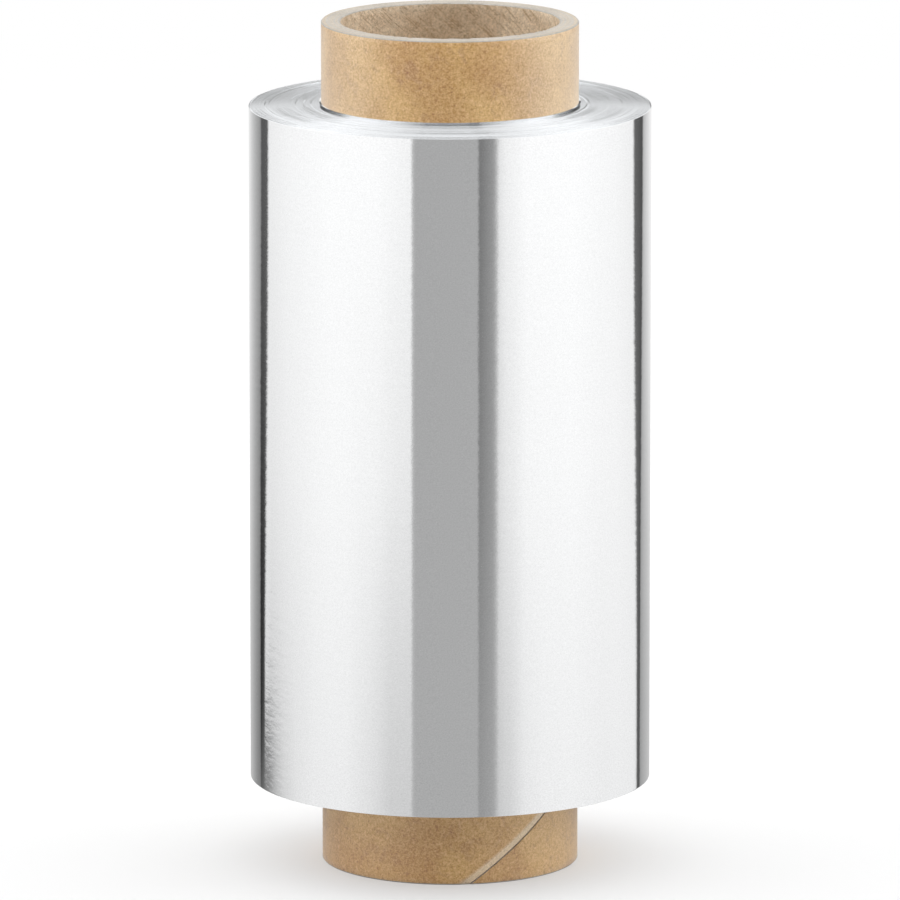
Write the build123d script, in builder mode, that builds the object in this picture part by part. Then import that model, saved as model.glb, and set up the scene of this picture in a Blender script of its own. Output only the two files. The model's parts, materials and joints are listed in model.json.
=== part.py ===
"""A short roll of aluminium foil wound on a cardboard core that stands out at both ends.

The roll stands on the lower end of its core. Origin: centre of that end face, +Z up.
The front faces -Y. Angles go round from the front, anticlockwise seen from above. Lengths are in millimetres.
"""

import os
from math import cos, pi, radians, sin

from build123d import *

# Cardboard core, wound from strips of board
core_bore = 38.4  # across the hole
core_wall = 3.4
core_projection = 15.0  # bare core beyond the foil, at each end
cut_edge_break = 0.2  # the knife leaves the cut edges slightly broken

# Open joints that the outermost and the innermost strip leave, where their edges come round to meet
joint_rise = 103.5  # height gained in one turn
outer_joint_width = 1.2  # square to the joint
outer_joint_depth = 0.4
outer_joint_angle = 6.8  # where it meets the core's lower end
inner_joint_width = 0.5
inner_joint_depth = 0.35
inner_joint_angle = 177.5
joint_overrun = 10.0  # how far the bar that cuts a joint runs on past each end of the core
joint_spill = 0.5  # how far that bar stands clear of the face it cuts

# Wound foil
foil_width = 120.0
wound_thickness = 12.7  # from the core out to the last turn
winding_clearance = 0.0  # the first turn lies tight on the core

# The turns don't lie exactly side by side, so the two ends of the winding aren't flat
collar_thickness = 0.35  # the first turns, which slipped up the core together
collar_slip = 0.75
wander_height = 0.1  # how far the later turns stray to either side, in slow waves
wander_waves = 2.6
flutter_height = 0.05  # quicker waves on top of the slow ones
flutter_waves = 7.3
wander_bands = 18  # bands of turns, each one straight, that stand for the curve

# Free end of the foil, a straight cut edge at the back that lifts a little from the turn below
free_end_angle = 218.0
free_end_reach = 26.0  # how much of the last turn has lifted, in degrees
free_end_lift = 0.22  # at the edge itself

# Worked out from the sizes above
core_radius = core_bore / 2 + core_wall
core_length = foil_width + 2 * core_projection
winding_bore_radius = core_radius + winding_clearance
collar_radius = winding_bore_radius + collar_thickness
roll_radius = winding_bore_radius + wound_thickness
FRONT = -90.0  # the front as an angle from +X


def joint_bar(radius: float, inward: float, outward: float, width: float) -> Part:
    """A bar that climbs round the core at a radius, to cut an open joint. It starts on +X at Z = 0.

    It reaches inward and outward of the radius, and is long enough to run out past both cut ends.
    """
    with BuildPart(mode=Mode.PRIVATE) as bar:
        with BuildLine():
            climb = Helix(pitch=joint_rise, height=core_length + 2 * joint_overrun, radius=radius)
        with BuildSketch(Plane(origin=climb @ 0, x_dir=(1, 0, 0), z_dir=climb % 0)):
            with Locations(((outward - inward) / 2, 0)):
                Rectangle(inward + outward, width)
        sweep(is_frenet=True)
    return bar.part


def joint_place(angle: float) -> Location:
    """Where a joint bar goes for its joint to meet the core's lower end at an angle from the front."""
    turned = 360 * joint_overrun / joint_rise
    return Location((0, 0, -joint_overrun), (0, 0, FRONT + angle - turned))


def end_shift(radius: float) -> float:
    """How far up the turn at a radius lies from where it should: a slow wave and a quick one."""
    share = (radius - collar_radius) / (roll_radius - collar_radius)
    slow = wander_height * sin(2 * pi * wander_waves * share)
    quick = flutter_height * sin(2 * pi * flutter_waves * share)
    return slow + quick


os.makedirs("parts", exist_ok=True)

# Cardboard core: a tube with a spiral joint outside and another inside
outer_joint = joint_bar(core_radius, outer_joint_depth, joint_spill, outer_joint_width)
inner_joint = joint_bar(core_bore / 2, joint_spill, inner_joint_depth, inner_joint_width)

with BuildPart() as cardboard_core:
    with BuildSketch():
        Circle(core_radius)
        Circle(core_bore / 2, mode=Mode.SUBTRACT)
    extrude(amount=core_length)
    chamfer(cardboard_core.edges().filter_by(GeomType.CIRCLE), cut_edge_break)
    add(joint_place(outer_joint_angle) * outer_joint, mode=Mode.SUBTRACT)
    add(joint_place(inner_joint_angle) * inner_joint, mode=Mode.SUBTRACT)

cardboard_core.part.label = "cardboard_core"
export_step(cardboard_core.part, "parts/cardboard_core.step")

# Foil winding: all the turns as one body. Every turn is as wide as the foil, so what stands proud
# at the upper end is set back by as much at the lower end.
band_width = (roll_radius - collar_radius) / wander_bands
band_radii = [collar_radius + band_width * band for band in range(wander_bands)]
rim_radius = roll_radius + 2 * free_end_lift  # the last band runs on under the lifted free end
end_line = [(winding_bore_radius, collar_slip), (collar_radius, collar_slip)]
end_line += [(radius, end_shift(radius)) for radius in band_radii]
end_line += [(rim_radius, end_shift(roll_radius))]
lower_end = [(radius, core_projection + shift) for radius, shift in end_line]
upper_end = [(radius, height + foil_width) for radius, height in lower_end]

with BuildPart() as foil_winding:
    with BuildSketch():
        with BuildLine():
            tight_turn = CenterArc((0, 0), roll_radius, FRONT + free_end_angle, 360 - free_end_reach)
            edge_direction = radians(FRONT + free_end_angle)
            edge_radius = roll_radius + free_end_lift
            edge_point = (edge_radius * cos(edge_direction), edge_radius * sin(edge_direction))
            TangentArc(tight_turn @ 1, edge_point, tangent=tight_turn % 1)
            Line(edge_point, tight_turn @ 0)
        make_face()
        Circle(winding_bore_radius, mode=Mode.SUBTRACT)
    extrude(amount=core_length)
    with BuildSketch(Plane.XZ):
        with BuildLine():
            Polyline(*lower_end, *reversed(upper_end), close=True)
        make_face()
    revolve(axis=Axis.Z, mode=Mode.INTERSECT)

foil_winding.part.label = "foil_winding"
export_step(foil_winding.part, "parts/foil_winding.step")
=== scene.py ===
"""The looks of a short roll of aluminium foil on a spiral-wound cardboard core.

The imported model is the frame. Lengths are in metres. The core's lower end stands on Z = 0, +Z is up and the
front faces -Y. Angles go round from the front, anticlockwise seen from above.
"""

import json
from math import cos, pi, radians, sin

import bpy
import numpy as np
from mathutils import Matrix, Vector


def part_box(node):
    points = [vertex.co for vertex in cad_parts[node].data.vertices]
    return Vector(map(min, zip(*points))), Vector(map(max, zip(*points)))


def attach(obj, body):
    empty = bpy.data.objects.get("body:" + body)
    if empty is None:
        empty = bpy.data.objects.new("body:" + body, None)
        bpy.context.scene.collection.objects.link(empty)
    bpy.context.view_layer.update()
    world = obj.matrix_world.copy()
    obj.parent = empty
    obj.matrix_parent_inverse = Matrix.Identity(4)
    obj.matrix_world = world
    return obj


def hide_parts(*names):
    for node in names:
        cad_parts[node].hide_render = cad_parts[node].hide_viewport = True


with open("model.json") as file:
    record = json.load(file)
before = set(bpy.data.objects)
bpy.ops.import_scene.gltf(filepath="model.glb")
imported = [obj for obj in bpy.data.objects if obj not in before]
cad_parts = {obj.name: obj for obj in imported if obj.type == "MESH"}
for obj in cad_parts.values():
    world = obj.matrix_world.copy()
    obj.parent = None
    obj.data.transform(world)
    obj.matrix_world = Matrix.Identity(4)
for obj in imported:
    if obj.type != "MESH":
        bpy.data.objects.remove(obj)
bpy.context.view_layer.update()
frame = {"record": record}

bl_info = {
    "name": "Foil roll",
    "version": (1, 0, 0),
    "blender": (4, 5, 0),
    "location": "View3D > Sidebar > Foil roll",
    "description": "Dresses a roll of aluminium foil and its cardboard core",
    "category": "Object",
}

MM = 0.001
TURN = 2 * pi
ACROSS_LINES = 0.25  # a quarter turn lays a highlight's smear across the lines that run round the roll

# Two faces that meet at more than this show a sharp edge between them
FOIL_CREASE = radians(38)
BOARD_CREASE = radians(50)

# Places taken from the frame
core_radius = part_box("cardboard_core")[1].x
core_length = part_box("cardboard_core")[1].z
winding_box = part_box("foil_winding")
roll_radius = min(winding_box[1].x, winding_box[1].y, -winding_box[0].x, -winding_box[0].y)
collar_top = winding_box[1].z
spindle_bore = next(mount for mount in frame["record"]["mounts"] if mount["name"] == "spindle_bore")
bore_radius = spindle_bore["dims"]["r_mm"] * MM


def length(name, description, default):
    """A property that holds a length, shown in the scene's own unit."""
    return bpy.props.FloatProperty(
        name=name, description=description, default=default, unit="LENGTH", precision=6
    )


def angle(name, description, degrees):
    """A property that holds an angle, given here in degrees."""
    return bpy.props.FloatProperty(
        name=name, description=description, default=radians(degrees), subtype="ANGLE"
    )


def factor(name, description, default):
    """A property that holds a share from 0 to 1."""
    return bpy.props.FloatProperty(
        name=name, description=description, default=default, min=0, max=1, subtype="FACTOR"
    )


def colour(name, description, default):
    """A property that holds a colour."""
    return bpy.props.FloatVectorProperty(
        name=name, description=description, default=default, min=0, max=1, subtype="COLOR"
    )


def plain_number(name, description, default):
    """A property that holds a number without a unit."""
    return bpy.props.FloatProperty(name=name, description=description, default=default)


class FoilWindingSizes(bpy.types.PropertyGroup):
    """Sizes of the wound foil."""

    foil_width: length("Foil width", "From one end of the winding to the other", 120 * MM)
    collar_slip: length("Collar slip", "How far the first turns slipped up the core", 0.75 * MM)
    collar_thickness: length("Collar thickness", "Of the turns that slipped", 0.35 * MM)
    collar_dip: length("Collar dip", "How much lower its innermost turn lies", 0.08 * MM)
    collar_unevenness: length("Collar unevenness", "How much the collar's edge rises and falls", 0.05 * MM)
    wander_height: length("Wander", "How far turns stray in slow waves over the end", 0.035 * MM)
    wander_waves: plain_number("Wander waves", "Slow waves from the core to the rim", 2.6)
    flutter_height: length("Flutter", "How far turns stray in quick waves over the end", 0.008 * MM)
    flutter_waves: plain_number("Flutter waves", "Quick waves from the core to the rim", 7.3)
    stray_height: length("Stray", "How far groups of turns stand proud of the next ones", 0.006 * MM)
    dome_height: length("Dome", "How far the first turns lie above the last one, at both ends", 0.34 * MM)
    rim_round: length("Rim round", "Radius over the outermost turns' edges", 0.04 * MM)
    ripple_height: length("Ripple", "How far the last turn is out of true", 0.002 * MM)
    free_end_angle: angle("Free end", "Where the foil's cut edge lies, from the front", 218)
    free_end_reach: angle("Lifted reach", "How much of the last turn has lifted", 26)
    free_end_lift: length("Lift", "How far the cut edge stands off", 0.2 * MM)
    foil_thickness: length("Foil thickness", "Of the free end", 0.03 * MM)


class CoreSizes(bpy.types.PropertyGroup):
    """Sizes of the cardboard core."""

    cut_round: length("Cut edge", "How far the knife broke the cut edges", 0.2 * MM)
    joint_rise: length("Joint rise", "Height that the open joints gain in one turn", 103.5 * MM)
    outer_joint_width: length("Outer joint", "Width along the ring, cut across", 1.97 * MM)
    outer_joint_depth: length("Outer joint depth", "At the open edge of the outer strip", 0.38 * MM)
    rubbed_width: length("Rubbed width", "Of the pale zone beside that edge", 0.9 * MM)
    strip_depth: length("Strip depth", "How deep the bare strip lies beside that edge", 0.2 * MM)
    outer_joint_angle: angle("Outer joint place", "Where it meets the lower end", 6.8)
    inner_joint_width: length("Inner joint", "Width along the ring, cut across", 0.8 * MM)
    inner_joint_depth: length("Inner joint depth", "Depth of the inner joint", 0.33 * MM)
    inner_joint_angle: angle("Inner joint place", "Where it meets the lower end", 177.5)
    frayed: length("Frayed", "How much the cut's inner edge is torn", 0.12 * MM)


class FoilFinish(bpy.types.PropertyGroup):
    """Finish of the foil."""

    face_colour: colour("Face", "Bright side of the foil", (0.915, 0.92, 0.925))
    face_roughness: factor("Face roughness", "Of the bright side", 0.06)
    face_grain: factor("Face grain", "How much the rolling lines smear a highlight upwards", 0.65)
    end_colour: colour("Ends", "Slit edges of the turns", (0.855, 0.88, 0.905))
    end_roughness: factor("End roughness", "Of the slit edges", 0.15)
    end_grain: factor("End grain", "How much the turns smear a highlight along the radius", 0.95)


class BoardFinish(bpy.types.PropertyGroup):
    """Colours of the cardboard."""

    kraft: colour("Kraft", "Outer strip of the core", (0.54, 0.275, 0.05))
    kraft_pale: colour("Pale kraft", "Lighter clouds in the outer strip", (0.72, 0.43, 0.125))
    # The dark kraft also paints the shade over the lower projecting end
    kraft_dark: colour("Dark kraft", "Darker spots in the outer strip", (0.37, 0.15, 0.022))
    # Also used for the painted sheen on the left and right of the upper projecting end
    bare_strip: colour("Bare strip", "Board that shows in the open joint", (0.82, 0.64, 0.42))
    speckle: colour("Speckle", "What fine fibres add to the board's colour, or take away", (1.0, 0.9, 0.76))
    # Painted shadow: the dark colour painted into the outer joint's crack
    joint_gap: colour("Joint gap", "Depth of the open joint's crack", (0.12, 0.07, 0.03))
    cut: colour("Cut ends", "Sawn plies at the ends", (0.53, 0.465, 0.38))
    cut_grey: colour("Cut ends, grey", "Greyer plies at the ends", (0.48, 0.455, 0.42))
    inner: colour("Inside", "Inner wall of the core", (0.67, 0.53, 0.38))
    inner_pale: colour("Inside, pale", "Rubbed places of the inner wall", (0.79, 0.665, 0.505))
    # The dark inside colour also paints the shade in the middle of the inner wall
    inner_dark: colour("Inside, dark", "Dark strokes of the inner wall", (0.36, 0.24, 0.13))
    scuff: colour("Scuff", "Grey mark down the inner wall", (0.56, 0.53, 0.44))
    scuff_place: length("Scuff place", "Of that mark, from the middle to the right", 8.6 * MM)
    fuzz: factor("Fuzz", "How much the fibres catch light at the sides", 0.55)


class StudioSizes(bpy.types.PropertyGroup):
    """The camera, the floor and the light."""

    camera_distance: length("Camera distance", "From the camera to what it looks at", 2145.8 * MM)
    camera_elevation: angle("Camera elevation", "How far the camera looks down", 11.3)
    camera_target: length("Camera target", "Height on the axis that the camera looks at", 73.36 * MM)
    focal_length: plain_number("Focal length", "Of the camera, in millimetres on a 36 mm sensor", 487.1)
    floor_radius: length("Floor radius", "How far the floor reaches", 12.0)
    floor_white: factor("Floor white", "How pale the floor is", 0.66)
    floor_lift: factor("Floor lift", "White that the camera sees on the floor besides its light", 0.22)
    panel_strength: plain_number("Panels", "Brightness of the studio's panels", 1.15)
    upper_strength: plain_number("Upper panels", "Brightness of the panels above the horizon", 2.5)
    overhead_strength: plain_number("Overhead", "Brightness of the panel overhead", 0.92)


class Wire:
    """A number in a node tree: an output socket, with arithmetic that adds Math nodes."""

    def __init__(self, sheet, socket):
        self.sheet = sheet
        self.socket = socket

    def other(self, name):
        """Another output of the same node."""
        return Wire(self.sheet, self.socket.node.outputs[name])

    def maths(self, operation, left, right=0.0):
        """A Math node with that operation."""
        return self.sheet.add("ShaderNodeMath", {"operation": operation}, {0: left, 1: right})

    def __add__(self, other):
        return self.maths("ADD", self, other)

    def __radd__(self, other):
        return self.maths("ADD", other, self)

    def __sub__(self, other):
        return self.maths("SUBTRACT", self, other)

    def __rsub__(self, other):
        return self.maths("SUBTRACT", other, self)

    def __mul__(self, other):
        return self.maths("MULTIPLY", self, other)

    def __rmul__(self, other):
        return self.maths("MULTIPLY", other, self)

    def __truediv__(self, other):
        return self.maths("DIVIDE", self, other)

    def __pow__(self, other):
        return self.maths("POWER", self, other)

    def over(self, limit):
        """1 where the number is over the limit, and otherwise 0."""
        return self.maths("GREATER_THAN", self, limit)

    def size(self):
        """The number without its sign."""
        return self.maths("ABSOLUTE", self)

    def step(self, low, high):
        """0 up to low, 1 from high on, and a smooth rise between them."""
        settings = {"interpolation_type": "SMOOTHSTEP"}
        values = {"Value": self, "From Min": low, "From Max": high}
        return self.sheet.add("ShaderNodeMapRange", settings, values)


class NodeSheet:
    """The nodes of one material or of the world."""

    def __init__(self, tree):
        self.tree = tree
        tree.nodes.clear()

    def add(self, kind, settings=None, values=None):
        """Adds a node, sets it up, fills its sockets with values or wires, and gives its first output.

        The setting "stops" holds a colour ramp's stops, as pairs of a place and a grey or a colour.
        """
        node = self.tree.nodes.new(kind)
        for name, value in (settings or {}).items():
            if name == "stops":
                self.set_stops(node.color_ramp, value)
            else:
                setattr(node, name, value)
        for name, value in (values or {}).items():
            socket = node.inputs[name]
            if isinstance(value, Wire):
                self.tree.links.new(value.socket, socket)
            elif socket.type == "RGBA":
                socket.default_value = (*value, 1)
            else:
                socket.default_value = value
        shown = [socket for socket in node.outputs if socket.enabled]
        return Wire(self, shown[0]) if shown else None

    def set_stops(self, ramp, stops):
        """Gives a colour ramp its stops."""
        while len(ramp.elements) > 1:
            ramp.elements.remove(ramp.elements[-1])
        for number, (place, shade) in enumerate(stops):
            stop = ramp.elements[0] if number == 0 else ramp.elements.new(place)
            stop.position = place
            stop.color = (shade, shade, shade, 1) if isinstance(shade, float) else (*shade, 1)

    def point(self):
        """The shaded point's place in the frame."""
        return self.add("ShaderNodeTexCoord").other("Object")

    def axis(self, point, name):
        """The X, Y or Z of a point."""
        return self.add("ShaderNodeSeparateXYZ", values={0: point}).other(name)

    def radius(self, point):
        """How far a point lies from the roll's axis."""
        x, y = self.axis(point, "X"), self.axis(point, "Y")
        return (x * x + y * y) ** 0.5

    def scaled(self, point, scale):
        """A point with each axis stretched by its own number."""
        return self.add("ShaderNodeMapping", values={"Vector": point, "Scale": scale})

    def noise(self, point, scale, detail=2.0, roughness=0.5, curl=0.0):
        """Cloudy noise from 0 to 1, with so many lumps to a metre."""
        values = {"Vector": point, "Scale": scale, "Detail": detail, "Roughness": roughness}
        values["Distortion"] = curl
        return self.add("ShaderNodeTexNoise", values=values)

    def ring_noise(self, radius, scale, detail=2.0):
        """Noise that changes only with the radius."""
        values = {"W": radius, "Scale": scale, "Detail": detail, "Roughness": 0.65}
        return self.add("ShaderNodeTexNoise", {"noise_dimensions": "1D"}, values)

    def ramp(self, place, stops):
        """A grey read off a ramp at a place from 0 to 1."""
        return self.add("ShaderNodeValToRGB", {"stops": stops}, {"Fac": place})

    def mix(self, share, first, second):
        """A colour between two others."""
        return self.add("ShaderNodeMix", {"data_type": "RGBA"}, {0: share, 6: first, 7: second})

    def shaded(self, paint, amount):
        """A colour made lighter or darker: each channel times the amount."""
        return self.add("ShaderNodeVectorMath", {"operation": "SCALE"}, {0: paint, "Scale": amount})

    def speckled(self, paint, speckle, amount):
        """A colour with so much of a speckle's colour added."""
        values = {0: paint, 1: self.shaded(speckle, amount)}
        return self.add("ShaderNodeVectorMath", {"operation": "ADD"}, values)

    def bump(self, height, distance):
        """A normal roughened by a height from 0 to 1, where 1 stands for the distance."""
        return self.add("ShaderNodeBump", values={"Height": height, "Distance": distance})


def new_object(name, data):
    """An object at the origin that holds a mesh or a camera."""
    piece = bpy.data.objects.new(name, data)
    bpy.context.scene.collection.objects.link(piece)
    return piece


def new_material(name):
    """An empty material and the sheet of its nodes."""
    material = bpy.data.materials.new(name)
    material.use_nodes = True
    return material, NodeSheet(material.node_tree)


def finish_material(sheet, values):
    """Ends a material in one Principled shader with these sockets."""
    shader = sheet.add("ShaderNodeBsdfPrincipled", values=values)
    sheet.add("ShaderNodeOutputMaterial", values={"Surface": shader})


def place_on_rings(radii, angles, heights):
    """Points from cylinder coordinates: X is radius times sine, Y minus radius times cosine of the angle."""
    radii, angles, heights = np.broadcast_arrays(radii, angles, heights)
    return np.stack([radii * np.sin(angles), -radii * np.cos(angles), heights], axis=-1)


def closed_ring_mesh(name, points):
    """A mesh over a grid of points that closes both ways, like the skin of a ring.

    Columns go round from the front and rows go once round the wall's section: up the outside, in over
    the top, down the inside and out along the bottom. Faces then point outwards.
    """
    rows, columns = points.shape[:2]
    row, column = np.meshgrid(np.arange(rows), np.arange(columns), indexing="ij")
    next_row = (row + 1) % rows
    next_column = (column + 1) % columns
    corners = np.stack(
        [row * columns + column, row * columns + next_column, next_row * columns + next_column,
         next_row * columns + column], axis=-1
    )
    mesh = bpy.data.meshes.new(name)
    mesh.from_pydata(points.reshape(-1, 3), [], corners.reshape(-1, 4), shade_flat=False)
    return new_object(name, mesh)


def give_materials(piece, materials, row_materials, columns):
    """Gives a ring mesh its materials, one number for each of its rows."""
    for material in materials:
        piece.data.materials.append(material)
    piece.data.polygons.foreach_set("material_index", np.repeat(row_materials, columns).astype(np.int32))


def settle(piece, node):
    """Rides the piece on the roll, in place of a node, which it hides."""
    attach(piece, "root")
    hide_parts(node)


def foil_face_material(finish):
    """Bright rolled foil: nearly a mirror, with faint rolling lines that run round the roll."""
    material, sheet = new_material("foil_face")
    point = sheet.point()
    lines = sheet.noise(sheet.scaled(point, (60, 60, 2600)), 1.0, 3.0, 0.6)
    grain = sheet.noise(sheet.scaled(point, (3600, 3600, 4200)), 1.0, 2.0, 0.7)
    dents = sheet.noise(sheet.scaled(point, (300, 300, 700)), 1.0, 2.0, 0.5)
    tooth = sheet.noise(point, 3000.0, 1.0)
    finish_material(sheet, {
        "Base Color": sheet.shaded(finish.face_colour, 0.825 + 0.03 * lines + 0.32 * grain),
        "Metallic": 1.0,
        "Roughness": finish.face_roughness - 0.01 + 0.02 * lines,
        "Anisotropic": finish.face_grain,
        "Anisotropic Rotation": ACROSS_LINES,
        "Normal": sheet.bump(0.45 * dents + 0.07 * tooth, 0.02 * MM),
    })
    return material


def dome_shift(sizes, share):
    """How far up a turn lies at a share of the roll's radius: it falls with the share's fourth power."""
    return sizes.dome_height * (1 - share**4) / (1 - (core_radius / roll_radius) ** 4)


def foil_end_material(sizes, finish):
    """Slit edges of the turns: satin rings, some of them greyer than others.

    The edges lean out as the dome over the end does, which the bump takes from the dome's height.
    """
    material, sheet = new_material("foil_end")
    point = sheet.point()
    radius = sheet.radius(point)
    drifting_radius = radius + 0.1 * MM * sheet.noise(point, 45.0, 1.0)
    turns = sheet.ring_noise(drifting_radius, 5200.0)
    bands = sheet.ring_noise(drifting_radius, 1300.0)
    grain = sheet.noise(point, 4200.0, 2.0, 0.7)
    relief = 0.007 * MM * turns + 0.004 * MM * bands + dome_shift(sizes, radius / roll_radius)
    finish_material(sheet, {
        "Base Color": sheet.shaded(finish.end_colour, 0.83 + 0.11 * turns + 0.14 * bands + 0.06 * grain),
        "Metallic": 1.0,
        "Roughness": finish.end_roughness - 0.03 + 0.06 * bands,
        "Anisotropic": finish.end_grain,
        "Anisotropic Rotation": ACROSS_LINES,
        "Normal": sheet.bump(relief, 1.0),
    })
    return material


def turn_ends(sizes, inner_radius, outer_radius, group_count, columns, seed):
    """One end of the winding, from the collar out: radii and heights of the rows of its surface.

    The turns lie in groups of uneven width, each flat on top, with an upright step to the next one. A group
    has two rows, at its inner and its outer radius. Its height is that of the dome, plus a slow and a quick
    sine wave of the radius, plus a stray of its own that swells and fades on the way round.
    """
    random = np.random.default_rng(seed)
    widths = 0.8 + 0.6 * random.exponential(size=group_count)
    edges = np.concatenate([[0.0], np.cumsum(widths) / widths.sum()])
    shares = (edges[1:] + edges[:-1]) / 2
    slow = sizes.wander_height * np.sin(TURN * sizes.wander_waves * shares)
    quick = sizes.flutter_height * np.sin(TURN * sizes.flutter_waves * shares)
    stray = sizes.stray_height * random.normal(size=group_count)
    angles = np.linspace(0, TURN, columns, endpoint=False)
    swelling = 1 + 0.3 * np.sin(angles[None, :] + random.uniform(0, TURN, group_count)[:, None])
    radii = inner_radius + (outer_radius - inner_radius) * edges
    dome = dome_shift(sizes, (radii[1:] + radii[:-1]) / 2 / roll_radius)
    heights = (dome + slow + quick)[:, None] + stray[:, None] * swelling
    half_gap = 0.0005 * MM  # so narrow that the step from one group to the next stands upright
    rows = np.stack([radii[:-1] + half_gap, radii[1:] - half_gap], axis=1).reshape(-1, 1)
    return rows, np.repeat(heights, 2, axis=0)


def side_ripple(sizes, heights, angles):
    """How far the last turn stands out of true: long low sine waves that cross each other."""
    random = np.random.default_rng(11)
    ripple = np.zeros((heights.size, angles.size))
    waves = ((3, 0.7), (5, 1.6), (9, 2.3), (14, 3.1), (23, 1.2))  # so many round the roll and along it
    for around, along in waves:
        start = random.uniform(0, TURN, 2)
        wave = np.sin(around * angles[None, :] + start[0])
        ripple += wave * np.sin(TURN * along * heights[:, None] / sizes.foil_width + start[1])
    return sizes.ripple_height * ripple / len(waves)


def make_foil_turns(sizes, finish):
    """All the turns as one closed ring: its section is carried round the axis.

    The section goes up the side, over the upper rim, in across the upper end, over the collar, down the
    bore, over the hidden lower ends of the collar's turns and out across the lower end.
    """
    columns, upper_groups, lower_groups, side_rows, rim_rows = 360, 100, 12, 24, 2
    angles = np.linspace(0, TURN, columns, endpoint=False)
    upper = collar_top - sizes.collar_slip
    lower = upper - sizes.foil_width
    collar_radius = core_radius + sizes.collar_thickness
    flat_radius = roll_radius - sizes.ripple_height - sizes.rim_round

    upper_radii, upper_heights = turn_ends(sizes, collar_radius, flat_radius, upper_groups, columns, 7)
    upper_radii, upper_heights = upper_radii[::-1], upper_heights[::-1]
    lower_radii, lower_heights = turn_ends(sizes, collar_radius, flat_radius, lower_groups, columns, 8)
    rim_turn = np.linspace(0, pi / 2, rim_rows + 2)[1:-1, None]
    rim_radii = flat_radius + sizes.rim_round * np.cos(rim_turn)
    rim_rise = sizes.rim_round * (1 - np.sin(rim_turn))
    near_rim = sizes.rim_round + np.array([0.0, 0.1, 0.4, 1.2]) * MM
    even_from = 3 * MM
    even = np.linspace(even_from, sizes.foil_width - even_from, side_rows - 2 * near_rim.size)
    side_heights = np.concatenate([near_rim, even, sizes.foil_width - near_rim[::-1]])
    side_radii = flat_radius + sizes.rim_round + side_ripple(sizes, side_heights, angles)
    upper_shift, lower_shift = upper_heights[:1], lower_heights[-1:]
    random = np.random.default_rng(3)
    unevenness = sum(
        np.sin(waves * angles + random.uniform(0, TURN)) / waves**0.5 for waves in (2, 3, 5, 8, 13, 21)
    )
    collar_edge = (sizes.collar_slip + sizes.collar_unevenness * unevenness / 2)[None, :]

    sections = [
        (side_radii, lower + side_heights[:, None] + lower_shift),
        (rim_radii[::-1], upper - rim_rise[::-1] + upper_shift),
        (upper_radii, upper + upper_heights),
        (np.full((1, 1), collar_radius), upper + collar_edge),
        (np.full((1, 1), core_radius), upper + collar_edge - sizes.collar_dip),
        (np.full((1, 1), core_radius), lower + collar_edge),
        (np.full((1, 1), collar_radius), lower + collar_edge),
        (lower_radii, lower + lower_heights),
        (rim_radii, lower + rim_rise + lower_shift),
    ]
    points = np.concatenate([
        place_on_rings(
            np.broadcast_to(radii, (max(len(radii), len(heights)), columns)), angles[None, :], heights
        )
        for radii, heights in sections
    ])
    piece = closed_ring_mesh("foil_turns", points)
    piece.data.set_sharp_from_angle(angle=FOIL_CREASE)

    # The flat tops of the groups and the inner half of each rim are slit edges, the rest is the foil's face
    upper_start = side_rows + rim_rows
    collar_start = upper_start + len(upper_radii)
    lower_start = collar_start + 4
    row_materials = np.zeros(len(points))
    row_materials[upper_start - rim_rows // 2:upper_start] = 1
    row_materials[upper_start:collar_start - 1:2] = 1
    row_materials[lower_start:-rim_rows // 2:2] = 1
    materials = [foil_face_material(finish), foil_end_material(sizes, finish)]
    give_materials(piece, materials, row_materials, columns)
    settle(piece, "foil_winding")


def make_free_end(sizes):
    """The lifted end of the last turn: a thin sheet that leaves the roll along a curve.

    Its lift grows with the square of the way along, and its section is carried along that way.
    """
    along_rows, up_columns = 40, 24
    share = np.linspace(0, 1, along_rows)[:, None]
    start = sizes.free_end_angle - sizes.free_end_reach
    angles = start + sizes.free_end_reach * share
    upper = collar_top - sizes.collar_slip - sizes.rim_round
    lower = upper - sizes.foil_width + 2 * sizes.rim_round
    heights = np.linspace(lower, upper, up_columns)[None, :]
    wave = 1 + 0.12 * np.sin(TURN * 2.3 * (heights - lower) / sizes.foil_width)
    outside = roll_radius - sizes.ripple_height + sizes.free_end_lift * share**2 * wave
    inside = outside - sizes.foil_thickness
    sheet = np.concatenate([
        place_on_rings(outside, angles, heights), place_on_rings(inside, angles, heights)[::-1]
    ])
    rows = len(sheet)
    row, column = np.meshgrid(np.arange(rows), np.arange(up_columns - 1), indexing="ij")
    next_row = (row + 1) % rows
    corners = np.stack([
        row * up_columns + column, next_row * up_columns + column,
        next_row * up_columns + column + 1, row * up_columns + column + 1
    ], axis=-1).reshape(-1, 4)
    strip = np.arange(along_rows - 1)
    back = rows - 1 - strip
    lower_edge = np.stack([back, back - 1, strip + 1, strip], axis=-1) * up_columns
    upper_edge = np.stack([strip, strip + 1, back - 1, back], axis=-1) * up_columns + up_columns - 1
    mesh = bpy.data.meshes.new("foil_free_end")
    faces = np.concatenate([corners, lower_edge, upper_edge])
    mesh.from_pydata(sheet.reshape(-1, 3), [], faces, shade_flat=False)
    piece = new_object("foil_free_end", mesh)
    mesh.set_sharp_from_angle(angle=FOIL_CREASE)
    mesh.materials.append(bpy.data.materials["foil_face"])
    settle(piece, "foil_winding")


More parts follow.
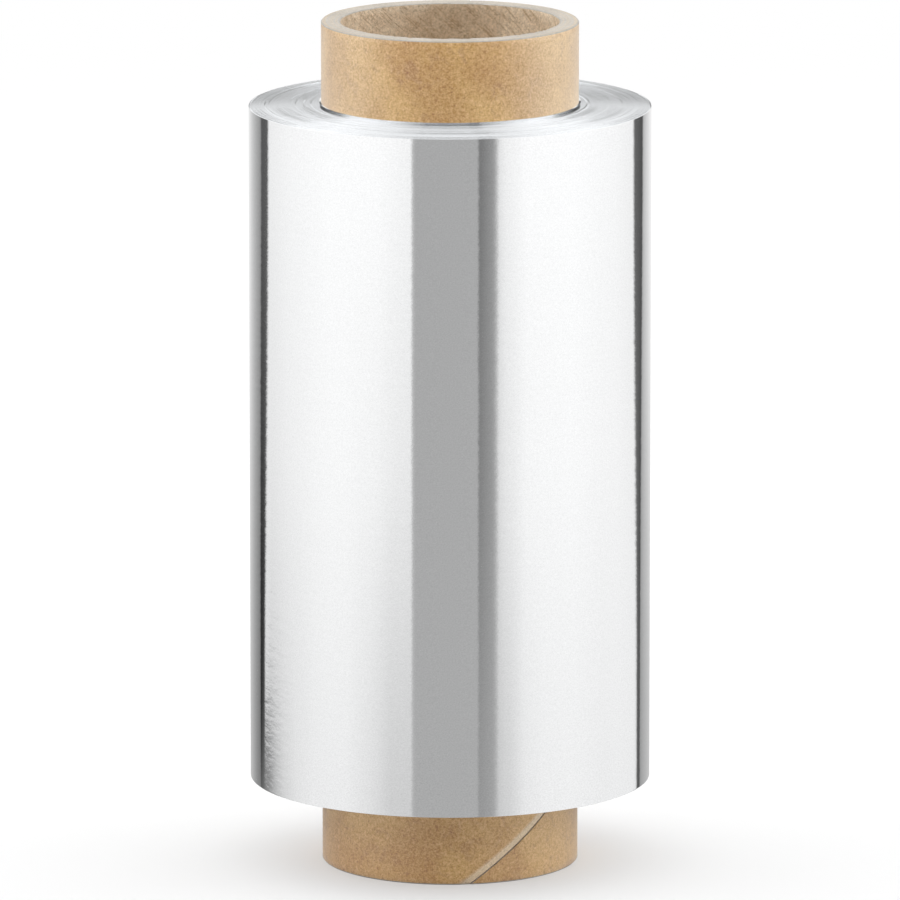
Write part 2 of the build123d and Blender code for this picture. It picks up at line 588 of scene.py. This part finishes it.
def kraft_material(finish, projection):
    """Brown kraft board: pale clouds, short curly fibres and a soft tooth.

    The lower projecting end carries painted shade, a little darker, and the upper one a painted sheen, paler
    on its left and right.
    """
    material, sheet = new_material("kraft_board")
    point = sheet.point()
    x, z = sheet.axis(point, "X"), sheet.axis(point, "Z")
    clouds = sheet.noise(point, 75.0, 3.0, 0.55)
    spots = sheet.noise(point, 330.0, 3.0, 0.6, 1.0)
    fibres = sheet.noise(point, 1900.0, 3.0, 0.7, 0.4)
    grain = sheet.noise(point, 3400.0, 2.0, 0.7)
    paint = sheet.mix(clouds.step(0.36, 0.7), finish.kraft, finish.kraft_pale)
    paint = sheet.mix(0.45 * spots.step(0.5, 0.7), paint, finish.kraft_dark)
    paint = sheet.mix(0.3 * (1 - fibres.step(0.3, 0.5)), paint, finish.kraft_dark)
    paint = sheet.mix(0.2 * fibres.step(0.5, 0.72), paint, finish.kraft_pale)
    upper_end = z.step(projection, core_length - projection)
    # Painted sheen: the upper projecting end is painted paler towards its left and right, more on the right
    painted_sheen = 0.3 * x.size().step(8 * MM, 18 * MM) + 0.1 * x.step(4 * MM, 16 * MM)
    # Painted shade: the lower projecting end, under the winding, is darkened towards the dark kraft
    paint = sheet.mix(0.17 * (1 - upper_end), paint, finish.kraft_dark)
    # The painted sheen mixes towards the bare strip's colour
    paint = sheet.mix(upper_end * painted_sheen, paint, finish.bare_strip)
    strip = sheet.add("ShaderNodeAttribute", {"attribute_name": "bare_strip"}).other("Fac")
    gap = sheet.add("ShaderNodeAttribute", {"attribute_name": "joint_gap"}).other("Fac")
    paint = sheet.mix(0.8 * strip, paint, finish.bare_strip)
    paint = sheet.speckled(paint, finish.speckle, 0.66 * (grain - 0.5) + 0.38 * (fibres - 0.5))
    finish_material(sheet, {
        # Painted shadow darkens the crack of the outer joint
        "Base Color": sheet.mix(0.9 * gap, paint, finish.joint_gap),
        "Roughness": 0.4 + 0.2 * grain,
        "IOR": 1.7,
        "Specular IOR Level": 1.0,
        "Sheen Weight": finish.fuzz,
        "Sheen Roughness": 0.5,
        "Normal": sheet.bump(0.5 * grain + 0.5 * fibres, 0.06 * MM),
    })
    return material


def cut_board_material(finish):
    """The cut through the plies: pale grey board, a little lighter or darker from ply to ply."""
    material, sheet = new_material("cut_board")
    point = sheet.point()
    fuzz = sheet.noise(point, 2400.0, 3.0, 0.7, 1.0)
    drift = sheet.noise(point, 120.0, 2.0)
    plies = sheet.ring_noise(sheet.radius(point) + 0.5 * MM * drift, 1500.0)
    paint = sheet.mix(plies.step(0.35, 0.65), finish.cut, finish.cut_grey)
    finish_material(sheet, {
        "Base Color": sheet.shaded(paint, 1 + 0.9 * (fuzz - 0.5) + 0.4 * (drift - 0.5)),
        "Roughness": 0.92,
        "Specular IOR Level": 0.3,
        "Normal": sheet.bump(0.7 * fuzz + 0.3 * plies, 0.08 * MM),
    })
    return material


def inner_board_material(sizes, finish):
    """The inner wall: greyer, worn board with strokes along its strip.

    It is painted darker in the middle of its front and back, as painted shade, and a grey scuff runs down the
    back.
    """
    material, sheet = new_material("inner_board")
    point = sheet.point()
    x, y, z = (sheet.axis(point, name) for name in "XYZ")
    unwound = sheet.add(
        "ShaderNodeVectorRotate", {"rotation_type": "Z_AXIS"},
        {"Vector": point, "Angle": z * (-TURN / sizes.joint_rise)},
    )
    strokes = sheet.noise(sheet.scaled(unwound, (1500, 1500, 260)), 1.0, 3.0, 0.65, 0.4)
    patches = sheet.noise(point, 260.0, 3.0, 0.6)
    grain = sheet.noise(point, 2700.0, 2.0, 0.7)
    fibres = sheet.noise(point, 1000.0, 3.0, 0.7, 2.0)
    paint = sheet.mix(patches.step(0.3, 0.7), finish.inner, finish.inner_pale)
    paint = sheet.mix(0.65 * strokes.step(0.5, 0.7), paint, finish.inner_dark)
    paint = sheet.mix(0.35 * (1 - fibres.step(0.32, 0.52)), paint, finish.inner_dark)
    # Painted shade: the inner wall is darkened towards the middle of its front and back
    paint = sheet.mix(0.38 * (1 - x.size().step(2 * MM, 10 * MM)), paint, finish.inner_dark)
    away = (x - finish.scuff_place + 0.4 * MM * (fibres - 0.5)).size()
    scuff = (1 - away.step(0.15 * MM, 0.6 * MM)) * y.over(0.0) * patches.step(0.25, 0.6)
    paint = sheet.mix(0.65 * scuff, paint, finish.scuff)
    finish_material(sheet, {
        "Base Color": sheet.shaded(paint, 1 + 0.9 * (grain - 0.5) + 0.7 * (fibres - 0.5)),
        "Roughness": 0.9,
        "Specular IOR Level": 0.3,
        "Normal": sheet.bump(0.7 * grain + 0.3 * strokes, 0.07 * MM),
    })
    return material


def joint_columns(centre, offsets):
    """Angles round a joint, from its centre and offsets in metres along a ring of the core's radius."""
    return centre + np.array(offsets) / core_radius


def make_core(sizes, finish):
    """The core as one closed ring whose columns climb with the strips of board.

    A column's angle is its angle at the lower end plus a full turn for each joint rise of height, so both
    open joints run along columns. The radius is that of the wall, less or plus the depth of a joint.
    """
    ring_columns, end_rows, middle_rows, cut_rows = 320, 14, 58, 7
    outer_width, inner_width = sizes.outer_joint_width, sizes.inner_joint_width
    crack, wall_slope = 0.3 * MM, 0.06 * MM
    # Its last column is how much painted shadow the crack gets
    outer_joint = np.array([  # place along the ring, depth, how bare the board is, and how dark the gap is
        (-0.5 * outer_width - sizes.rubbed_width, 0.0, 0.0, 0.0),
        (-0.5 * outer_width - wall_slope, 0.0, 0.6, 0.0),
        (-0.5 * outer_width + wall_slope, 0.3 * sizes.strip_depth, 1.0, 0.0),
        (0.0, 0.6 * sizes.strip_depth, 1.0, 0.0),
        (0.5 * outer_width - crack - wall_slope, sizes.strip_depth, 1.0, 0.0),
        (0.5 * outer_width - crack, sizes.outer_joint_depth, 1.0, 1.0),
        (0.5 * outer_width - wall_slope, sizes.outer_joint_depth, 1.0, 1.0),
        (0.5 * outer_width, 0.0, 0.0, 0.0),
    ])
    inner_depths = np.array([
        (-0.5 * inner_width - wall_slope, 0.0),
        (-0.5 * inner_width, sizes.inner_joint_depth),
        (0.5 * inner_width, sizes.inner_joint_depth),
        (0.5 * inner_width + wall_slope, 0.0),
    ])
    outer_columns = joint_columns(sizes.outer_joint_angle, outer_joint[:, 0])
    inner_columns = sizes.inner_joint_angle + inner_depths[:, 0] / bore_radius
    plain = np.linspace(0, TURN, ring_columns, endpoint=False)
    clear = 0.3 * MM / core_radius  # the plain columns keep this far off a joint
    for joint in (outer_columns, inner_columns):
        plain = plain[(plain < joint[0] - clear) | (plain > joint[-1] + clear)]
    columns = np.sort(np.concatenate([plain, outer_columns, inner_columns]))
    outer_groove = np.interp(columns, outer_columns, outer_joint[:, 1], left=0, right=0)
    inner_groove = np.interp(columns, inner_columns, inner_depths[:, 1], left=0, right=0)

    winding = bpy.context.scene.foil_winding_sizes
    projection = collar_top - winding.collar_slip - winding.foil_width
    edge = sizes.cut_round
    inner_edge = 0.6 * edge
    fine = np.linspace(edge, projection, end_rows)
    coarse = np.linspace(projection, core_length - projection, middle_rows)[1:-1]
    wall_heights = np.concatenate([fine, coarse, core_length - fine[::-1]])
    cut_shares = np.linspace(0, 1, cut_rows)[:, None]
    random = np.random.default_rng(5)
    torn = random.normal(size=(2, columns.size)) ** 2
    torn = sizes.frayed * 0.5 * (torn + np.roll(torn, 1, axis=1))

    outer_radii = core_radius - outer_groove[None, :]
    inner_radii = bore_radius + inner_groove[None, :]
    outer_rim = outer_radii - edge
    fuzz = 0.03 * MM * random.normal(size=(cut_rows, columns.size))
    upper_inner_rim = inner_radii + inner_edge + torn[:1]
    lower_inner_rim = inner_radii + inner_edge + torn[1:]
    upper_cut = outer_rim + (upper_inner_rim - outer_rim) * cut_shares
    lower_cut = (outer_rim + (lower_inner_rim - outer_rim) * cut_shares)[::-1]
    falls = np.array([0.0, 0.3, 0.6, 0.6, 0.4, 0.5, 1.0])[:, None]  # how rough each row of the cut is
    sections = [
        (outer_radii, wall_heights[:, None]),
        (upper_cut, core_length - np.abs(fuzz) * falls),
        (inner_radii, wall_heights[::-1, None]),
        (lower_cut, np.zeros((1, 1))),
    ]
    points = []
    for radii, heights in sections:
        rows = max(len(radii), len(heights))
        radii = np.broadcast_to(radii, (rows, columns.size))
        heights = np.broadcast_to(heights, (rows, columns.size))
        climbed = columns[None, :] + TURN * heights / sizes.joint_rise
        points.append(place_on_rings(radii, climbed, heights))
    points = np.concatenate(points)
    piece = closed_ring_mesh("core_board", points)
    piece.data.set_sharp_from_angle(angle=BOARD_CREASE)

    # Kraft outside, the cut with its broken edges, the inner wall, and the other cut
    wall_rows = wall_heights.size
    row_materials = np.zeros(len(points))
    row_materials[wall_rows - 1:wall_rows + cut_rows] = 1
    row_materials[wall_rows + cut_rows:2 * wall_rows + cut_rows - 1] = 2
    row_materials[2 * wall_rows + cut_rows - 1:] = 1
    materials = [
        kraft_material(finish, projection), cut_board_material(finish), inner_board_material(sizes, finish)
    ]
    give_materials(piece, materials, row_materials, columns.size)
    # Shares at each point: how bare the board is, and how much painted shadow darkens the crack
    for number, name in ((2, "bare_strip"), (3, "joint_gap")):
        shares = np.interp(columns, outer_columns, outer_joint[:, number], left=0, right=0)
        values = np.tile(shares.astype(np.float32), len(points))
        piece.data.attributes.new(name, "FLOAT", "POINT").data.foreach_set("value", values)
    settle(piece, "cardboard_core")
    piece.visible_glossy = False  # the slit ends of the foil show no brown


def make_floor(sizes):
    """A flat pale disc: a middle point and rings round it, each as many times wider than the last."""
    ring_count, columns = 24, 96
    radii = np.geomspace(10 * MM, sizes.floor_radius, ring_count)[:, None]
    angles = np.linspace(0, TURN, columns, endpoint=False)[None, :]
    points = place_on_rings(radii, angles, 0.0).reshape(-1, 3)
    points = np.concatenate([points, np.zeros((1, 3))])
    row, column = np.meshgrid(np.arange(ring_count - 1), np.arange(columns), indexing="ij")
    following = (column + 1) % columns
    corners = np.stack([
        row * columns + column, (row + 1) * columns + column,
        (row + 1) * columns + following, row * columns + following
    ], axis=-1).reshape(-1, 4)
    middle = np.stack([
        np.full(columns, len(points) - 1), np.arange(columns), (np.arange(columns) + 1) % columns
    ], axis=-1)
    mesh = bpy.data.meshes.new("floor")
    mesh.from_pydata(points, [], [*corners.tolist(), *middle.tolist()])
    floor = new_object("floor", mesh)
    mesh.materials.append(floor_material(sizes))


def floor_material(sizes):
    """Pale matt floor that keeps the roll's soft shadow and turns white further out.

    The foil sees the studio's panels through it, dimmed by painted grey shade that only reflections see,
    strongest near the roll and towards the front.
    """
    material, sheet = new_material("floor")
    point = sheet.point()
    radius = sheet.radius(point)
    path = sheet.add("ShaderNodeLightPath")
    white = (1, 1, 1)
    matt = sheet.add("ShaderNodeBsdfDiffuse", values={"Color": (sizes.floor_white,) * 3})
    lift = sheet.add("ShaderNodeEmission", values={"Color": white, "Strength": sizes.floor_lift * path})
    lit = sheet.add("ShaderNodeAddShader", values={0: matt, 1: lift})
    far_white = sheet.add("ShaderNodeEmission", values={"Color": white, "Strength": 1.0})
    seen = sheet.add("ShaderNodeMixShader", values={0: radius.step(0.25, 0.9) * path, 1: lit, 2: far_white})

    # The angle from the front is taken round a point half-way out to the roll's front
    x, y = sheet.axis(point, "X"), sheet.axis(point, "Y") + 0.5 * roll_radius
    turn = x.maths("ARCTAN2", x, y * -1.0) / TURN + 0.5
    # Painted shade for reflections only: grey near the roll, stronger or weaker by the angle round it
    nearness = sheet.ramp(radius, ((0.1, 1.0), (0.17, 0.87), (0.4, 0.32), (0.75, 0.0)))
    reflected_shade = sheet.ramp(turn, (
        (0.13, 0.03), (0.16, 0.45), (0.23, 0.34), (0.27, 0.25), (0.33, 0.26), (0.37, 0.42), (0.405, 0.62),
        (0.594, 0.53), (0.617, 0.33), (0.653, 0.23), (0.77, 0.2), (0.85, 0.08),
    ))
    grey = sheet.add("ShaderNodeEmission", values={"Color": white, "Strength": 0.44})
    clear = sheet.add("ShaderNodeBsdfTransparent", values={"Color": white})
    glossy = sheet.add("ShaderNodeMixShader", values={0: nearness * reflected_shade, 1: clear, 2: grey})
    surface = sheet.add("ShaderNodeMixShader", values={0: path.other("Is Glossy Ray"), 1: seen, 2: glossy})
    sheet.add("ShaderNodeOutputMaterial", values={"Surface": surface})
    return material


def stops_round(table):
    """Ramp stops for a table of angles from the front, from -180 to 180 degrees, and what stands there."""
    return [((degrees + 180) / 360, shade) for degrees, shade in table]


def lower_row(sheet, sizes, turn, down):
    """Brightness of the row of panels that the side of the roll mirrors, by angle and by depth.

    Low down the panels shift sideways, so the images of the dark flags lean. The left flag is darker there,
    and the row dimmer towards the back. At the bottom a shadow spreads forwards from the left flag.
    """
    panels = (
        (-180, 0.8), (-166.5, 0.71), (-157.7, 0.56), (-151.8, 0.46), (-147, 0.38), (-141, 0.29),
        (-139.4, 0.24), (-137.9, 0.09), (-129, 0.1), (-127.6, 0.79), (-105, 0.865), (-72, 0.928),
        (-42, 0.922), (-22.1, 0.845), (-20.9, 0.368), (15.8, 0.376), (16.8, 0.17), (24.5, 0.28),
        (26.2, 0.38), (28.0, 0.72), (32, 0.82), (45, 0.92), (75, 0.935), (110, 0.875), (130.1, 0.805),
        (131.5, 0.12), (145.2, 0.07), (146.6, 0.44), (153.2, 0.585), (159.1, 0.67), (167.8, 0.78), (180, 0.8),
    )
    shifts = (
        (-160, 0), (-142.5, 3.9), (-136.2, 8), (-120, 5), (-95, 0), (95, 0), (120, -4), (138.5, -7.7),
        (143, 2.9), (150, 3), (170, 0),
    )
    widest = 20  # degrees of shift that a ramp from 0 to 1 stands for
    low = down.step(0.168, 0.222)
    shift = sheet.ramp(turn + 0.5, stops_round([(place, 0.5 + moved / widest) for place, moved in shifts]))
    place = turn + low * (shift - 0.5) * (widest / 360)
    row = sheet.ramp(place + 0.5, stops_round(panels))
    dimmed = low * (turn.size() * 2.0).step(0.74, 0.8) * (1 - down.step(0.26, 0.34))
    row = sizes.panel_strength * row * (1 - 0.36 * dimmed)
    left = place * -1.0
    row = row * (1 - 0.85 * low * left.step(0.354, 0.358) * (1 - left.step(0.383, 0.387)))
    fringe = sheet.ramp((turn * -1.0 - 0.28) * 9.0, (
        (0.0, 0.0), (0.108, 0.06), (0.297, 0.16), (0.486, 0.42), (0.6, 0.68), (0.675, 0.86), (0.756, 0.97),
        (0.95, 1.0), (0.975, 0.0),
    ))
    return row * (1 - fringe * down.step(0.215, 0.2213))


def upper_row(sheet, sizes, side, up):
    """Brightness of the panels above the horizon: dim in front, bright at the sides, brighter higher up."""
    row = sheet.ramp(side, (
        (0.0, 0.07), (0.13, 0.12), (0.32, 0.72), (0.45, 1.0), (0.7, 1.0), (0.85, 0.7), (1.0, 0.44)
    ))
    row = row.maths("MAXIMUM", row, 0.55 * up.step(0.4, 0.65))
    return sizes.upper_strength * row * (0.4 + 0.6 * up.step(0.12, 0.36))


def backdrop(sheet, up):
    """Brightness of the backdrop behind the roll, with a dark gap across it low down."""
    cloth = sheet.ramp(up * 2.0, (
        (0.0, 1.0), (0.12, 0.94), (0.165, 0.6), (0.2, 0.24), (0.24, 0.08), (0.28, 0.13), (0.305, 0.42),
        (0.335, 0.84), (0.38, 0.93), (0.5, 0.98), (1.0, 0.98),
    ))
    return cloth * (1 + 0.1 * up.step(0.17, 0.23))


def make_studio(sizes):
    """Soft panels all round, by angle from the front, with a grey gap in front and a dark one beside it.

    One row of panels reaches from below the horizon, where the side of the roll mirrors it, to just above.
    Two dark flags stand in it to the left and right of the back. The upper row is dim in front and bright
    at the sides, a backdrop stands at the back, and a panel hangs overhead. The camera itself sees white.
    """
    world = bpy.data.worlds.new("studio")
    bpy.context.scene.world = world
    world.use_nodes = True
    world.cycles.sampling_method = "NONE"
    sheet = NodeSheet(world.node_tree)
    direction = sheet.add("ShaderNodeTexCoord")
    x, y, up = (sheet.axis(direction, name) for name in "XYZ")
    turn = x.maths("ARCTAN2", x, y * -1.0) / TURN
    side = turn.size() * 2.0

    behind = side.step(0.84, 0.9) * (1 - up.step(0.42, 0.6))
    upper = upper_row(sheet, sizes, side, up) * (1 - behind) + backdrop(sheet, up) * behind
    rise = up.step(-0.02, 0.02) * behind + up.step(0.12, 0.24) * (1 - behind)
    around = lower_row(sheet, sizes, turn, up * -1.0) * (1 - rise) + upper * rise

    # Wide dark flags past the sides and a dimmer stretch in front, both at the height of the horizon
    past_sides = side.step(0.54, 0.64)
    flags = 0.9 * past_sides * (1 - side.step(0.9, 0.935)) + 0.35 * side.step(0.08, 0.14) * (1 - past_sides)
    around = around * (1 - flags * up.step(-0.06, 0.04) * (1 - up.step(0.24, 0.34)))

    overhead = up.step(0.6, 0.92)
    strength = around * (1 - overhead) + sizes.overhead_strength * overhead
    camera = sheet.add("ShaderNodeLightPath")
    strength = strength * (1 - camera) + camera
    light = sheet.add("ShaderNodeBackground", values={"Color": (1, 1, 1), "Strength": strength})
    sheet.add("ShaderNodeOutputWorld", values={"Surface": light})


def make_camera(sizes):
    """The camera at the photograph's height and distance, looking down at the roll's axis."""
    camera = new_object("camera", bpy.data.cameras.new("camera"))
    camera.data.lens = sizes.focal_length
    camera.data.sensor_width = 36.0
    camera.data.clip_end = 30.0
    down = sizes.camera_elevation
    height = sizes.camera_target + sizes.camera_distance * sin(down)
    camera.location = (0, -sizes.camera_distance * cos(down), height)
    camera.rotation_euler = (pi / 2 - down, 0, 0)
    bpy.context.scene.camera = camera


class FOILROLL_OT_wind_foil(bpy.types.Operator):
    """Makes the wound foil and its free end"""

    bl_idname = "foil_roll.wind_foil"
    bl_label = "Wind the foil"

    def execute(self, context):
        make_foil_turns(context.scene.foil_winding_sizes, context.scene.foil_finish)
        make_free_end(context.scene.foil_winding_sizes)
        return {"FINISHED"}


class FOILROLL_OT_wind_core(bpy.types.Operator):
    """Makes the cardboard core"""

    bl_idname = "foil_roll.wind_core"
    bl_label = "Wind the core"

    def execute(self, context):
        make_core(context.scene.core_sizes, context.scene.board_finish)
        return {"FINISHED"}


class FOILROLL_OT_set_stage(bpy.types.Operator):
    """Makes the floor, the light and the camera"""

    bl_idname = "foil_roll.set_stage"
    bl_label = "Set the stage"

    def execute(self, context):
        make_floor(context.scene.studio_sizes)
        make_studio(context.scene.studio_sizes)
        make_camera(context.scene.studio_sizes)
        context.scene.view_settings.view_transform = "Standard"
        return {"FINISHED"}


class FOILROLL_PT_panel(bpy.types.Panel):
    """Lists the roll's pieces and sizes"""

    bl_idname = "FOILROLL_PT_panel"
    bl_label = "Foil roll"
    bl_space_type = "VIEW_3D"
    bl_region_type = "UI"
    bl_category = "Foil roll"

    def draw(self, context):
        layout = self.layout
        for operator in OPERATORS:
            layout.operator(operator.bl_idname)
        for name in PROPERTY_GROUPS:
            group = getattr(context.scene, name)
            box = layout.box()
            for field in group.__annotations__:
                box.prop(group, field)


OPERATORS = (FOILROLL_OT_set_stage, FOILROLL_OT_wind_foil, FOILROLL_OT_wind_core)
PROPERTY_GROUPS = {
    "foil_winding_sizes": FoilWindingSizes,
    "core_sizes": CoreSizes,
    "foil_finish": FoilFinish,
    "board_finish": BoardFinish,
    "studio_sizes": StudioSizes,
}


def register():
    """Registers the classes and hangs the property groups on the scene."""
    for name, group in PROPERTY_GROUPS.items():
        bpy.utils.register_class(group)
        setattr(bpy.types.Scene, name, bpy.props.PointerProperty(type=group))
    for kind in (*OPERATORS, FOILROLL_PT_panel):
        bpy.utils.register_class(kind)


def unregister():
    """Takes the classes and the property groups away again."""
    for kind in (FOILROLL_PT_panel, *reversed(OPERATORS)):
        bpy.utils.unregister_class(kind)
    for name, group in PROPERTY_GROUPS.items():
        delattr(bpy.types.Scene, name)
        bpy.utils.unregister_class(group)


def main():
    """Dresses the roll."""
    register()
    bpy.ops.foil_roll.set_stage()
    bpy.ops.foil_roll.wind_foil()
    bpy.ops.foil_roll.wind_core()


if __name__ == "__main__":
    main()
